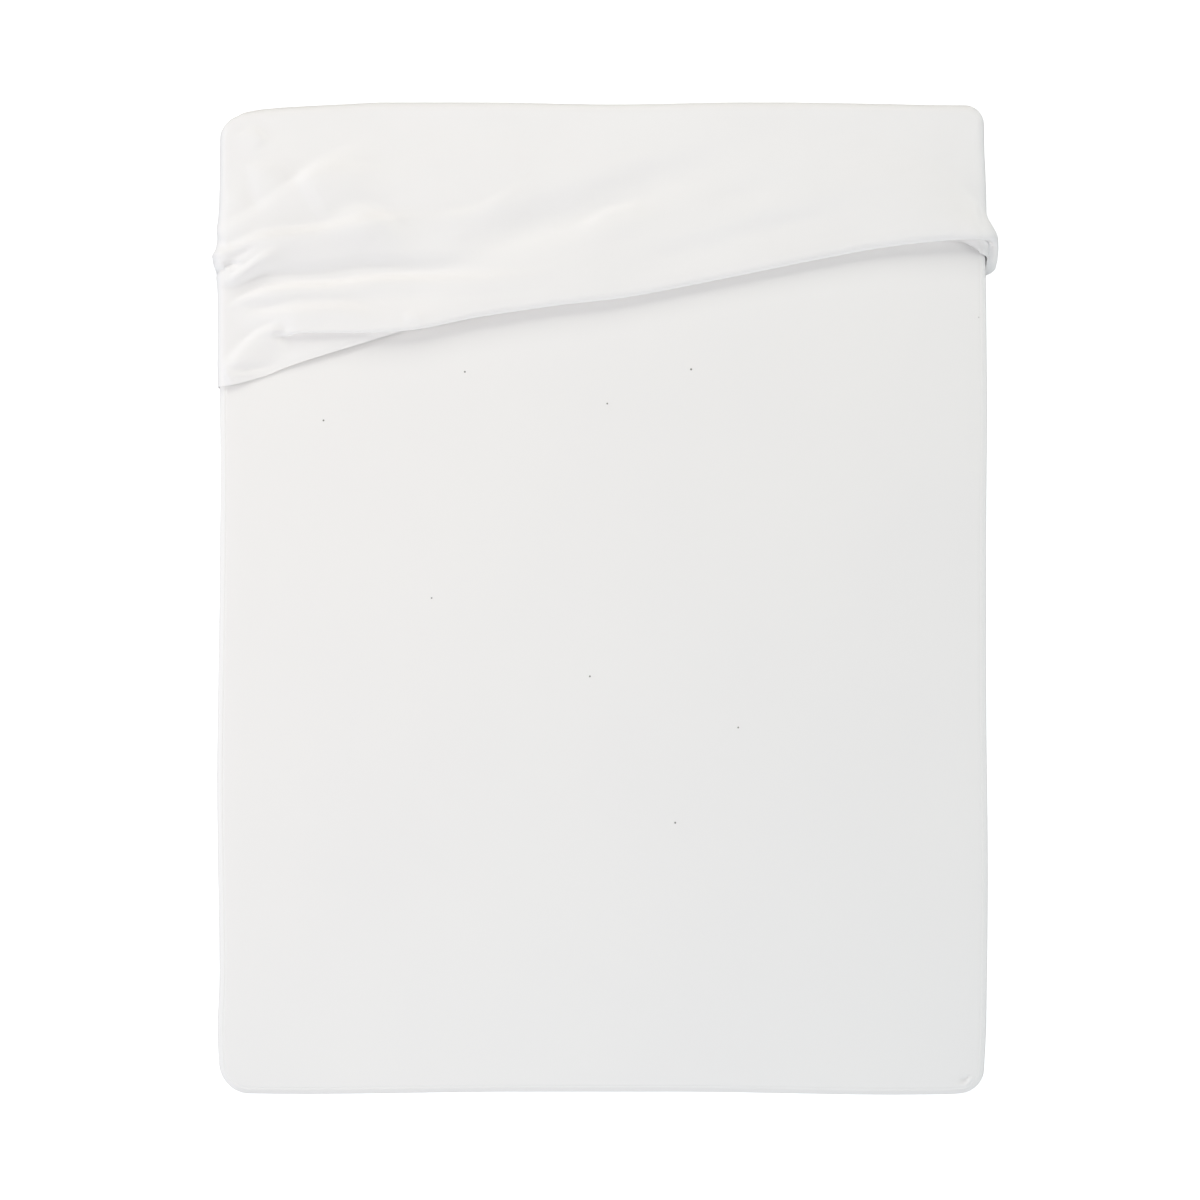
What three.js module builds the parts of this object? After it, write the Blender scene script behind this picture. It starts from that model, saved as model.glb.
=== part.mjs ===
// A mattress with a cloth encasement drawn over its head end. The open end of the encasement is folded back
// under itself and slants across the mattress.
//
// Millimetres. +X is to the right seen from the foot, +Y is towards the head, +Z is up. The origin is the
// middle of the mattress's underside.

import * as THREE from "three";
import { mergeVertices } from "three/addons/utils/BufferGeometryUtils.js";

// Driving dimensions of the mattress
const WIDTH = 1548;
const LENGTH = 1996;
const HEIGHT = 250;
const EDGE_RADIUS = 14;
const CORNER_RADIUS = { headLeft: 58, headRight: 47, footLeft: 56, footRight: 48 };
const HEAD_TAPER = { narrowing: 5, from: 620, to: 900 };
const HEAD_SAG = { drop: 16, from: -450, to: -712, reach: 160 };

// Driving dimensions of the cloth
const THICKNESS = 2;
const FLAT_GAP = 0.3;
const EDGE_GAP = 2;
const BACK_BEND = 6.5;
const RISE = 110;
const UNDER_RAMP = { clear: 4, length: 60 };

// Half sizes, where the flat faces end and the rounded border starts, and how far the corners reach past it
const HALF_WIDTH = WIDTH / 2;
const HALF_LENGTH = LENGTH / 2;
const FLAT_X = HALF_WIDTH - EDGE_RADIUS;
const FLAT_Y = HALF_LENGTH - EDGE_RADIUS;
const FLAT_LOW = EDGE_RADIUS;
const FLAT_HIGH = HEIGHT - EDGE_RADIUS;
const CORNER_REACH = Math.max(...Object.values(CORNER_RADIUS)) - EDGE_RADIUS;
const CORNER_PLACES = [FLAT_Y, FLAT_Y - CORNER_REACH / 2, FLAT_Y - CORNER_REACH];

// Places around the mattress, measured from the middle of its top, to the right
const TOP_EDGE = HALF_WIDTH;
const LOW_EDGE = HALF_WIDTH + HEIGHT;
const UNDER_MIDDLE = WIDTH + HEIGHT;

// The open end of the encasement, a row for each place around the mattress. nose is the Y of the fold's round
// front, and rim is the Y of the open edge. turn is how far the cloth turns back under itself, in degrees.
// bend and tuck are the lengths of cloth in that front and in the layer behind it.
const OPEN_END = [
  { around: -UNDER_MIDDLE, nose: 610, rim: 520, turn: 0, bend: 12, tuck: 5 },
  { around: -LOW_EDGE, nose: 540, rim: 420, turn: 0, bend: 12, tuck: 5 },
  { around: -TOP_EDGE, nose: 528, rim: 425, turn: 0, bend: 12, tuck: 5 },
  { around: -690, nose: 529, rim: 443, turn: 15, bend: 12, tuck: 5 },
  { around: -650, nose: 530, rim: 459, turn: 65, bend: 12, tuck: 5 },
  { around: -600, nose: 532, rim: 477, turn: 150, bend: 12, tuck: 7 },
  { around: -490, nose: 533, rim: 510, turn: 180, bend: 12, tuck: 16 },
  { around: -401, nose: 537, rim: 537, turn: 180, bend: 13, tuck: 26 },
  { around: -248, nose: 565, rim: 577, turn: 180, bend: 15, tuck: 42 },
  { around: -86, nose: 589, rim: 605, turn: 180, bend: 16, tuck: 50 },
  { around: 35, nose: 603, rim: 622, turn: 180, bend: 17, tuck: 54 },
  { around: 196, nose: 633, rim: 653, turn: 180, bend: 18, tuck: 54 },
  { around: 439, nose: 682, rim: 697, turn: 180, bend: 19, tuck: 44 },
  { around: 561, nose: 704, rim: 710, turn: 178, bend: 20, tuck: 30 },
  { around: 661, nose: 716, rim: 715, turn: 165, bend: 21, tuck: 14 },
  { around: 728, nose: 719, rim: 712, turn: 130, bend: 20, tuck: 5 },
  { around: TOP_EDGE, nose: 710, rim: 682, turn: 62, bend: 24, tuck: 10 },
  { around: TOP_EDGE + 50, nose: 678, rim: 660, turn: 80, bend: 25, tuck: 5 },
  { around: TOP_EDGE + 130, nose: 676, rim: 652, turn: 74, bend: 20, tuck: 6 },
  { around: LOW_EDGE - 30, nose: 688, rim: 643, turn: 30, bend: 14, tuck: 5 },
  { around: LOW_EDGE, nose: 695, rim: 640, turn: 0, bend: 12, tuck: 5 },
  { around: UNDER_MIDDLE, nose: 610, rim: 520, turn: 0, bend: 12, tuck: 5 },
];

// How far the cloth stands off the mattress between its folds, on the top and on the walls, and how far in from
// the head and from the sides the slack of the top is reached
const SLACK = { top: 9, wall: 2, tightHead: 20, headReach: 190, sideReach: 120 };

// The cloth keeps the edge gap up to this far from the edges of the top, and lies flat past the second distance
const EDGE_ZONE = { near: 30, far: 90 };

// The cloth lies flat beneath the mattress from this far past its lower edge, and hangs free above the first
const UNDER_ZONE = { above: 40, below: 8 };

// A fold fades at its ends, but keeps this part of its height there
const FOLD_END = 0.08;

// The folds of the cloth, from the left edge to the right. Each runs through three places, given as the
// distance around and Y. height is above the cloth beside it, or below it for a trough, and half is half its
// width.
const FOLDS = [
  { from: [-790, 735], via: [-611, 843], to: [-470, 918], height: 7, half: 26 },
  { from: [-800, 690], via: [-597, 752], to: [-455, 776], height: 9, half: 27 },
  { from: [-770, 640], via: [-720, 672], to: [-665, 704], height: 6, half: 16 },
  { from: [-790, 615], via: [-607, 682], to: [-240, 684], height: -9, half: 25 },
  { from: [-800, 585], via: [-553, 645], to: [-20, 676], height: 7, half: 30 },
  { from: [-790, 566], via: [-700, 586], to: [-630, 596], height: -5, half: 14 },
  { from: [-790, 552], via: [-543, 588], to: [-380, 578], height: 5, half: 22 },
  { from: [-820, 440], via: [-717, 505], to: [-640, 550], height: 6, half: 20 },
  { from: [-372, 760], via: [-240, 806], to: [-140, 842], height: 5, half: 20 },
  { from: [-390, 728], via: [-60, 824], to: [265, 912], height: -8, half: 34 },
  { from: [-80, 736], via: [-6, 774], to: [100, 806], height: 5, half: 20 },
  { from: [-50, 636], via: [250, 738], to: [580, 834], height: -7, half: 32 },
  { from: [80, 680], via: [360, 735], to: [640, 790], height: 4, half: 40 },
];

// The pinch where the folds gather at the left edge, and its reach along the edge and down the side
const PINCH = { around: -790, y: 686, height: 10, halfAround: 55, halfAlong: 22 };

// How finely the shapes are divided
const CLOTH_STEPS = { top: 24, underside: 6, crowding: 0.5 };
const MATTRESS_STEPS = { top: 6, underside: 6, crowding: 0 };
const WALL_STEPS = 5;
const SECTION_STEPS = { body: 17, bend: 5, tuck: 2, back: 4, hem: 3 };
const COVERED_STEPS = 8;
const BARE_STEPS = 4;
const ROUND_PARTS = [Math.tan(Math.PI / 8), 1];

const clamp = THREE.MathUtils.clamp;
const lerp = THREE.MathUtils.lerp;
const smoothstep = THREE.MathUtils.smoothstep;

// A value of the open end at a place around the mattress, with no kink at the table's rows
function openEnd(key, around) {
  const after = clamp(OPEN_END.findIndex((row) => row.around >= around), 1, OPEN_END.length - 1);
  const a = OPEN_END[after - 1];
  const b = OPEN_END[after];
  const t = (around - a.around) / (b.around - a.around);
  const before = OPEN_END[Math.max(after - 2, 0)];
  const next = OPEN_END[Math.min(after + 1, OPEN_END.length - 1)];
  const slopeA = slopeAt(before, a, b, key) * (b.around - a.around);
  const slopeB = slopeAt(a, b, next, key) * (b.around - a.around);
  const t2 = t * t;
  const t3 = t2 * t;
  return (2 * t3 - 3 * t2 + 1) * a[key] + (t3 - 2 * t2 + t) * slopeA
    + (3 * t2 - 2 * t3) * b[key] + (t3 - t2) * slopeB;
}

// The slope of a table column at a row, level where the column turns back or stays the same
function slopeAt(before, row, next, key) {
  if (before === row || next === row) return 0;
  const left = (row[key] - before[key]) / (row.around - before.around);
  const right = (next[key] - row[key]) / (next.around - row.around);
  return left * right <= 0 ? 0 : (2 * left * right) / (left + right);
}

// Whether the encasement lies over this place: 1 under it, falling to 0 just past its open edge
function covered(around, y) {
  const rim = openEnd("rim", around);
  return smoothstep(y, rim - UNDER_RAMP.length, rim - UNDER_RAMP.clear);
}

// One column of the skin: its place around, and its flat place and part of the rounded border, across and up
function column(around, x, xPart, z, zPart) {
  return { around, x, xPart, z, zPart };
}

// The columns over one rounded edge, from the face the loop leaves to the face it enters
function edgeColumns(around, x, z, sideFirst) {
  const side = Math.sign(x);
  const up = z > HEIGHT / 2 ? 1 : -1;
  const onFace = ROUND_PARTS.map((part) => [part, 1]);
  const onWall = ROUND_PARTS.slice(0, -1).map((part) => [1, part]);
  const faceFirst = [...onFace, ...onWall.toReversed()];
  const ordered = sideFirst ? faceFirst.toReversed() : faceFirst;
  return ordered.map(([across, rise]) => {
    const fromEdge = (across - rise) * (EDGE_RADIUS / 2) * side * up;
    return column(around + fromEdge, x, across * side, z, rise * up);
  });
}

// The places across a flat face, from left to right, closer together near its ends and over the plan's corners
function placesAcross(count, crowding) {
  const inner = FLAT_X - CORNER_REACH;
  const places = [-FLAT_X, -FLAT_X + CORNER_REACH / 2];
  for (let i = 0; i <= count; i++) {
    const share = i / count - (crowding * Math.sin((2 * Math.PI * i) / count)) / (2 * Math.PI);
    places.push(lerp(-inner, inner, share));
  }
  return [...places, FLAT_X - CORNER_REACH / 2, FLAT_X];
}

// The columns around the mattress: over the top to the right, down, back along the underside, and up
function columnsAround(steps) {
  const across = placesAcross(steps.top, steps.crowding);
  const beneath = placesAcross(steps.underside, 0).toReversed();
  const heights = Array.from({ length: WALL_STEPS + 1 }, (_, i) => lerp(FLAT_HIGH, FLAT_LOW, i / WALL_STEPS));
  return [
    ...across.map((x) => column(x, x, 0, FLAT_HIGH, 1)),
    ...edgeColumns(TOP_EDGE, FLAT_X, FLAT_HIGH, false),
    ...heights.map((z) => column(LOW_EDGE - z, FLAT_X, 1, z, 0)),
    ...edgeColumns(LOW_EDGE, FLAT_X, FLAT_LOW, true),
    ...beneath.map((x) => column((x < 0 ? -1 : 1) * UNDER_MIDDLE - x, x, 0, FLAT_LOW, -1)),
    ...edgeColumns(-LOW_EDGE, -FLAT_X, FLAT_LOW, false),
    ...heights.toReversed().map((z) => column(z - LOW_EDGE, -FLAT_X, -1, z, 0)),
    ...edgeColumns(-TOP_EDGE, -FLAT_X, FLAT_HIGH, true),
  ];
}

// The stations from the flat of an end wall, over its rounded border, to where the straight sides start
function endStations(end) {
  const y = end * FLAT_Y;
  const onWall = [0, ...ROUND_PARTS].map((inset) => ({ y, yPart: end, inset }));
  const onSide = ROUND_PARTS.slice(0, -1).map((part) => ({ y, yPart: end * part, inset: 1 }));
  return [...onWall, ...onSide.toReversed()];
}

// A station on the straight sides
const straightStation = (y) => ({ y, yPart: 0, inset: 1 });

// The point of the skin at a column and a station, moved out from the mattress's own surface by an offset
function skinPoint(col, station, offset) {
  const xPart = col.xPart * station.inset;
  const zPart = col.zPart * station.inset;
  const border = Math.max(Math.abs(xPart), Math.abs(station.yPart));
  const rise = Math.abs(zPart);
  const round = border > 0 && rise > 0 ? Math.max(border, rise) / Math.hypot(border, rise) : 1;
  const reach = (EDGE_RADIUS + offset) * round;
  const point = new THREE.Vector3(
    col.x + xPart * reach,
    station.y + station.yPart * reach,
    col.z + zPart * reach,
  );
  roundCorner(point, offset);
  easeHead(point, covered(col.around, point.y));
  return point;
}

// Rounds the plan's corner: squares about the corner's centre become arcs of the corner's radius
function roundCorner(point, offset) {
  const end = point.y > 0 ? "head" : "foot";
  const radius = CORNER_RADIUS[end + (point.x < 0 ? "Left" : "Right")];
  const centreX = HALF_WIDTH - radius;
  const centreY = HALF_LENGTH - radius;
  const a = (Math.abs(point.x) - centreX) / (radius + offset);
  const b = (Math.abs(point.y) - centreY) / (radius + offset);
  if (a <= 0 || b <= 0) return;
  const round = Math.max(a, b) / Math.hypot(a, b);
  point.x = Math.sign(point.x) * (centreX + a * round * (radius + offset));
  point.y = Math.sign(point.y) * (centreY + b * round * (radius + offset));
}

// Narrows the head a little, lets its left corner sag, and lifts the underside by the cloth beneath it
function easeHead(point, cover) {
  const narrowing = HEAD_TAPER.narrowing * smoothstep(point.y, HEAD_TAPER.from, HEAD_TAPER.to);
  point.x *= 1 - narrowing / HALF_WIDTH;
  const nearCorner = clamp((HEAD_SAG.from - point.x) / (HEAD_SAG.from - HEAD_SAG.to), 0, 1) ** 1.5;
  const nearHead = smoothstep(point.y, HALF_LENGTH - HEAD_SAG.reach, HALF_LENGTH);
  point.y -= HEAD_SAG.drop * nearCorner * nearHead;
  point.z += (FLAT_GAP + THICKNESS) * cover * (1 - clamp(point.z / HEIGHT, 0, 1));
}

// The height of one fold at a place: a soft ridge or trough along its bent line, fading towards both ends
function foldHeight(fold, around, y) {
  let best = { distance: Infinity, along: 0 };
  const lines = [[fold.from, fold.via, 0], [fold.via, fold.to, 0.5]];
  for (const [start, end, before] of lines) {
    const dx = end[0] - start[0];
    const dy = end[1] - start[1];
    const t = clamp(((around - start[0]) * dx + (y - start[1]) * dy) / (dx * dx + dy * dy), 0, 1);
    const distance = Math.hypot(around - start[0] - t * dx, y - start[1] - t * dy);
    if (distance < best.distance) best = { distance, along: before + t / 2 };
  }
  const across = 1 - smoothstep(best.distance, 0, 2 * fold.half);
  return fold.height * across * Math.sin(Math.PI * clamp(best.along, FOLD_END, 1 - FOLD_END));
}

// The gap between the mattress and cloth that lies on it
function lyingGap(around) {
  const fromEdge = Math.abs(Math.abs(around) - TOP_EDGE);
  return lerp(EDGE_GAP, FLAT_GAP, smoothstep(fromEdge, EDGE_ZONE.near, EDGE_ZONE.far));
}

// How far the middle of the cloth stands off the mattress where it is a single layer
function layHeight(around, y) {
  const onTop = smoothstep(TOP_EDGE - Math.abs(around), 0, SLACK.sideReach);
  const offHead = smoothstep(HALF_LENGTH - y, SLACK.tightHead, SLACK.headReach);
  const free = 1 - smoothstep(Math.abs(around), LOW_EDGE - UNDER_ZONE.above, LOW_EDGE + UNDER_ZONE.below);
  const gap = lerp(FLAT_GAP, Math.max(lyingGap(around), lerp(EDGE_GAP, FLAT_GAP, offHead)), free);
  const slack = lerp(SLACK.wall, SLACK.top, onTop) * offHead;
  const folds = FOLDS.reduce((sum, fold) => sum + foldHeight(fold, around, y), 0);
  const pinch = PINCH.height
    * Math.exp(-(((around - PINCH.around) / PINCH.halfAround) ** 2))
    * Math.exp(-(((y - PINCH.y) / PINCH.halfAlong) ** 2));
  return THICKNESS / 2 + gap + Math.max(slack + folds + pinch, 0) * free;
}

// The steps of the folded front: the bend forward and down, the layer behind it, and the bend back
function foldSteps(turn, bend, tuck) {
  const part = (count, length, angle) => Array.from({ length: count }, () => [length / count, angle / count]);
  return [
    ...part(SECTION_STEPS.bend, bend, turn),
    ...part(SECTION_STEPS.tuck, tuck, 0),
    ...part(SECTION_STEPS.back, BACK_BEND, -turn),
  ];
}

// Walks along the steps from a place, keeping the lean of the cloth at each
function walk(y, height, steps) {
  const places = [];
  let lean = 0;
  for (const [length, turn] of steps) {
    y -= length * Math.cos(lean + turn / 2);
    height -= length * Math.sin(lean + turn / 2);
    lean += turn;
    places.push({ y, height, lean });
  }
  return places;
}

// The places from the plan's head corners to the end of a stretch, and from there on in even steps
const placesTo = (end, count) => [
  ...CORNER_PLACES,
  ...Array.from({ length: count }, (_, i) => lerp(CORNER_PLACES.at(-1), end, (i + 1) / count)),
];

// The section of the cloth along the straight side of one column, from the head to the open edge
function section(around) {
  const [nose, rim, bend, tuck] = ["nose", "rim", "bend", "tuck"].map((key) => openEnd(key, around));
  const steps = foldSteps(THREE.MathUtils.degToRad(openEnd("turn", around)), bend, tuck);
  const fromCrest = walk(0, 0, steps);
  const lead = Math.min(Math.max(...fromCrest.map((place) => -place.y)), bend / 2);
  const crest = nose + lead;
  const hemHeight = THICKNESS / 2 + lyingGap(around);
  const top = hemHeight - fromCrest.at(-1).height;
  const body = placesTo(crest, SECTION_STEPS.body).map((y) => {
    const rising = smoothstep(crest + RISE - y, 0, RISE);
    return { y, height: lerp(layHeight(around, y), top, rising), lean: 0 };
  });
  const fold = walk(crest, top, steps);
  const hem = Array.from({ length: SECTION_STEPS.hem }, (_, i) => {
    const y = lerp(fold.at(-1).y, rim, (i + 1) / SECTION_STEPS.hem);
    return { y, height: hemHeight, lean: 0 };
  });
  return [...body, ...fold, ...hem];
}

// The two faces of the cloth at one place of a section: half the thickness to each side along its own normal
function faces(col, place) {
  return [1, -1].map((side) => {
    const half = (side * THICKNESS) / 2;
    const station = straightStation(place.y - half * Math.sin(place.lean));
    return skinPoint(col, station, place.height + half * Math.cos(place.lean));
  });
}

// A closed mesh from a list of triangles, each given as three points, leaving out those with two points alike
function closedMesh(name, triangles, material) {
  const whole = triangles.filter(([a, b, c]) => !a.equals(b) && !b.equals(c) && !c.equals(a));
  const positions = whole.flatMap((triangle) => triangle.flatMap((point) => point.toArray()));
  const loose = new THREE.BufferGeometry();
  loose.setAttribute("position", new THREE.Float32BufferAttribute(positions, 3));
  const geometry = mergeVertices(loose, 1e-4);
  geometry.computeVertexNormals();
  const mesh = new THREE.Mesh(geometry, material);
  mesh.name = name;
  return mesh;
}

// The triangles between neighbouring rows of points that run around the mattress
function bandTriangles(rows) {
  const triangles = [];
  for (let i = 0; i + 1 < rows.length; i++) {
    for (let j = 0; j < rows[i].length; j++) {
      const next = (j + 1) % rows[i].length;
      triangles.push([rows[i][j], rows[i + 1][j], rows[i][next]]);
      triangles.push([rows[i][next], rows[i + 1][j], rows[i + 1][next]]);
    }
  }
  return triangles;
}

// The flat of an end wall, laced with triangles between the row's top and the rest of it, from left to right
function panelTriangles(row, topCount) {
  const top = row.slice(1, topCount - 1);
  const rest = [row[0], ...row.slice(topCount - 1).reverse()];
  const triangles = [];
  let i = 0;
  let j = 0;
  while (i + 1 < top.length || j + 1 < rest.length) {
    if (i + 1 === top.length || (j + 1 < rest.length && rest[j + 1].x <= top[i + 1].x)) {
      triangles.push([top[i], rest[j + 1], rest[j]]);
      j += 1;
    } else {
      triangles.push([top[i], top[i + 1], rest[j]]);
      i += 1;
    }
  }
  return triangles;
}

const turnedOver = (triangles) => triangles.map(([a, b, c]) => [a, c, b]);

// How many of the columns lie on the flat of the top
const topCount = (columns) => columns.filter((col) => col.zPart === 1 && col.xPart === 0).length;

// The encasement: one sheet, closed at the head, with its outer face, its inner face and the edge at its rim
function makeEncasement(material) {
  const columns = columnsAround(CLOTH_STEPS);
  const outer = [];
  const inner = [];
  for (const station of endStations(1)) {
    const heights = columns.map((col) => layHeight(col.around, HALF_LENGTH));
    outer.push(columns.map((col, j) => skinPoint(col, station, heights[j] + THICKNESS / 2)));
    inner.push(columns.map((col, j) => skinPoint(col, station, heights[j] - THICKNESS / 2)));
  }
  const sections = columns.map((col) => section(col.around).map((place) => faces(col, place)));
  for (let i = 0; i < sections[0].length; i++) {
    outer.push(sections.map((places) => places[i][0]));
    inner.push(sections.map((places) => places[i][1]));
  }
  return closedMesh("encasement", [
    ...panelTriangles(outer[0], topCount(columns)),
    ...bandTriangles(outer),
    ...bandTriangles([outer.at(-1), inner.at(-1)]),
    ...turnedOver(bandTriangles(inner)),
    ...turnedOver(panelTriangles(inner[0], topCount(columns))),
  ], material);
}

// The places along one column of the mattress: under the cloth, down the ramp at the rim, and on to the foot
function mattressPlaces(around) {
  const rim = openEnd("rim", around);
  const footCorner = CORNER_PLACES.map((y) => -y).toReversed();
  const bare = Array.from({ length: BARE_STEPS }, (_, i) => {
    return lerp(rim - UNDER_RAMP.length, footCorner[0], i / BARE_STEPS);
  });
  return [...placesTo(rim - UNDER_RAMP.clear, COVERED_STEPS), ...bare, ...footCorner];
}

// The mattress: one padded block with rounded edges and corners, flat beneath
function makeMattress(material) {
  const columns = columnsAround(MATTRESS_STEPS);
  const straight = columns.map((col) => mattressPlaces(col.around));
  const rows = [
    ...endStations(1).map((station) => columns.map((col) => skinPoint(col, station, 0))),
    ...straight[0].map((_, i) => columns.map((col, j) => skinPoint(col, straightStation(straight[j][i]), 0))),
    ...endStations(-1).reverse().map((station) => columns.map((col) => skinPoint(col, station, 0))),
  ];
  return closedMesh("mattress", [
    ...panelTriangles(rows[0], topCount(columns)),
    ...bandTriangles(rows),
    ...turnedOver(panelTriangles(rows.at(-1), topCount(columns))),
  ], material);
}

const knit = new THREE.MeshStandardMaterial({ color: 0xf0efed, roughness: 0.9, metalness: 0 });
const ticking = new THREE.MeshStandardMaterial({ color: 0xecebea, roughness: 0.92, metalness: 0 });

const bedding = new THREE.Group();
bedding.add(makeEncasement(knit), makeMattress(ticking));

export default bedding;
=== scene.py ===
"""A mattress with a cloth encasement drawn over its head end like a sock.

The open end of the encasement is folded back under itself and slants across the mattress, which is bare
from there to the foot. Sizes in the tables are millimetres, and meshes are metres. +X is to the right
seen from the foot, +Y is towards the head, +Z is up, and the mattress's underside rests at Z = 0.

"around" is a distance across the mattress, measured over its surface from the middle of the top. It
grows to the right, over the edge, down the wall and back along the underside.
"""

import logging
import math
from dataclasses import dataclass, field
from enum import Enum
from typing import Sequence

import bmesh
import bpy
import numpy as np
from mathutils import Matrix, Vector, noise


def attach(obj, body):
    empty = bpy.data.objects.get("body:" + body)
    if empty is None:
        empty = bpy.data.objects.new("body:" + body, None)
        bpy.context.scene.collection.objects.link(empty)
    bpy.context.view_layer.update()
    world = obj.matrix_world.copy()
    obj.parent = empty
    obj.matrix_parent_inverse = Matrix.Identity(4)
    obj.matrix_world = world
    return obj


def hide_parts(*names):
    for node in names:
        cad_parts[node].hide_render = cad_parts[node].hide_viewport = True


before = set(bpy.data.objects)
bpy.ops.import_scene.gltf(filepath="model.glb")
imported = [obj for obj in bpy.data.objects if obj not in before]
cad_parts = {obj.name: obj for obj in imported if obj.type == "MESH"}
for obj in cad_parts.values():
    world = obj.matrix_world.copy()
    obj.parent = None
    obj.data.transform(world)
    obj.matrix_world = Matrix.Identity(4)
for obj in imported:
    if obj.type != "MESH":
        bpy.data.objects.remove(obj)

Array = np.ndarray
Value = np.ndarray | float
Tree = bpy.types.NodeTree
Socket = bpy.types.NodeSocket

MM = 0.001
LOG = logging.getLogger("mattress")
# A wave texture repeats each time its input, times its scale, grows by this.
WAVE_REPEAT = math.pi / 10
# Even steps round a quarter circle, as they show on the square about it.
EDGE_PARTS = (*(math.tan(math.radians(angle)) for angle in (9, 18, 27, 36)), 1.0)
# How far past a fold's own reach places are still looked at, and how soon a fold starts to rise.
FOLD_MARGIN = 10.0
FOLD_LEAD = 0.02


def smoothstep(value: Value, low: float, high: float) -> Value:
    """Returns 0 up to low, 1 from high, and a smooth rise between."""
    t = np.clip((value - low) / (high - low), 0.0, 1.0)
    return t * t * (3.0 - 2.0 * t)


def lerp(start: Value, end: Value, share: Value) -> Value:
    """Returns the value a share of the way from start to end."""
    return start + (end - start) * share


def falling(distance: Value, reach: float) -> Value:
    """Returns 1 at no distance, falling off ever more slowly to 0 at this reach."""
    return np.maximum(1.0 - distance / reach, 0.0) ** 2


def points_at(x: Array, y: Value, z: Value) -> Array:
    """Returns points in the last axis, all three coordinates spread to one shape."""
    return np.stack(np.broadcast_arrays(x, y, z), axis=-1)


def to_linear(hex_colour: str) -> tuple[float, float, float, float]:
    """Turns an sRGB colour such as #f0efed into linear values.

    Args:
        hex_colour: the colour as # and six digits.

    Returns:
        Red, green, blue and alpha, linear.
    """
    values = [int(hex_colour[i : i + 2], 16) / 255.0 for i in (1, 3, 5)]
    linear = [v / 12.92 if v <= 0.04045 else ((v + 0.055) / 1.055) ** 2.4 for v in values]
    return (*linear, 1.0)


def add_node(tree: Tree, kind: str, links: dict | None = None, **settings: object) -> bpy.types.Node:
    """Adds one node with its settings and its links.

    Args:
        tree: the node tree to add to.
        kind: the node's type name.
        links: for each input, by name or number, the socket that feeds it or the value it holds.
        settings: the node's own properties.

    Returns:
        The new node.
    """
    node = tree.nodes.new(kind)
    for name, value in settings.items():
        setattr(node, name, value)
    for key, value in (links or {}).items():
        socket = node.inputs[key]
        if isinstance(value, Socket):
            tree.links.new(value, socket)
        else:
            socket.default_value = value
    return node


class Face(Enum):
    """An upright face of the mattress, with the axis that crosses it and the side it lies on."""

    HEAD = (1, 1)
    FOOT = (1, -1)
    LEFT = (0, -1)
    RIGHT = (0, 1)


@dataclass(frozen=True)
class Bow:
    """A place where an upright face swells out, or sinks in where out is below 0, in millimetres."""

    face: Face
    centre: float
    reach: float
    out: float


BOWS = (
    Bow(Face.FOOT, -600, 420, 4.5),
    Bow(Face.FOOT, 590, 440, 6.0),
    Bow(Face.FOOT, 760, 60, -3.0),
    Bow(Face.LEFT, 240, 260, -2.0),
    Bow(Face.LEFT, -370, 420, 5.0),
    Bow(Face.LEFT, -870, 110, 4.0),
    Bow(Face.RIGHT, 380, 300, 2.0),
    Bow(Face.RIGHT, -560, 420, 3.6),
    Bow(Face.RIGHT, -985, 130, -4.5),
    Bow(Face.RIGHT, 960, 150, -3.0),
    Bow(Face.HEAD, 0, 2400, -2.2),
    Bow(Face.HEAD, 20, 260, -4.0),
    Bow(Face.HEAD, 760, 420, -6.0),
)


@dataclass(frozen=True)
class BlockSize:
    """The sizes of the mattress, in millimetres."""

    width: float = 1548.0
    length: float = 1996.0
    height: float = 250.0
    edge_radius: float = 14.0
    corners: tuple[float, float, float, float] = (50.0, 36.0, 60.0, 46.0)
    bow_fade: float = 220.0
    head_narrowing: float = 5.0
    narrows_from: float = 600.0
    narrows_to: float = 860.0
    sag_drop: float = 14.5
    corner_drop: float = 10.0
    corner_power: int = 8
    sag_from: float = -450.0
    sag_to: float = -737.0
    sag_reach: float = 160.0
    # The cloth beneath lifts the underside by this, from a little before its rim.
    cloth_lift: float = 2.3
    lift_from: float = -60.0
    lift_to: float = -4.0

    @property
    def flat_x(self) -> float:
        """Where the top's flat ends to the left and right."""
        return self.width / 2 - self.edge_radius

    @property
    def flat_y(self) -> float:
        """Where the top's flat ends towards head and foot."""
        return self.length / 2 - self.edge_radius

    @property
    def flat_high(self) -> float:
        """Where the walls' flat ends at the top."""
        return self.height - self.edge_radius

    @property
    def top_edge(self) -> float:
        """The distance around of the top's edge."""
        return self.width / 2

    @property
    def low_edge(self) -> float:
        """The distance around of the underside's edge."""
        return self.width / 2 + self.height

    @property
    def under_middle(self) -> float:
        """The distance around of the middle of the underside."""
        return self.width + self.height

    @property
    def girth(self) -> float:
        """The whole way around."""
        return 2 * (self.width + self.height)


@dataclass(frozen=True)
class OpenEndRow:
    """The open end of the encasement at one place around, in millimetres and degrees.

    nose is the Y of the fold's round front and rim the Y of the open edge. turn is how far the cloth
    turns back under itself. bend and tuck are the lengths of cloth in that front and in the layer behind
    it. lift is how high the open edge stands off the mattress, and rise the length over which the cloth
    climbs to the fold.
    """

    around: float
    nose: float
    rim: float
    turn: float
    bend: float
    tuck: float
    lift: float
    rise: float


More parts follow.
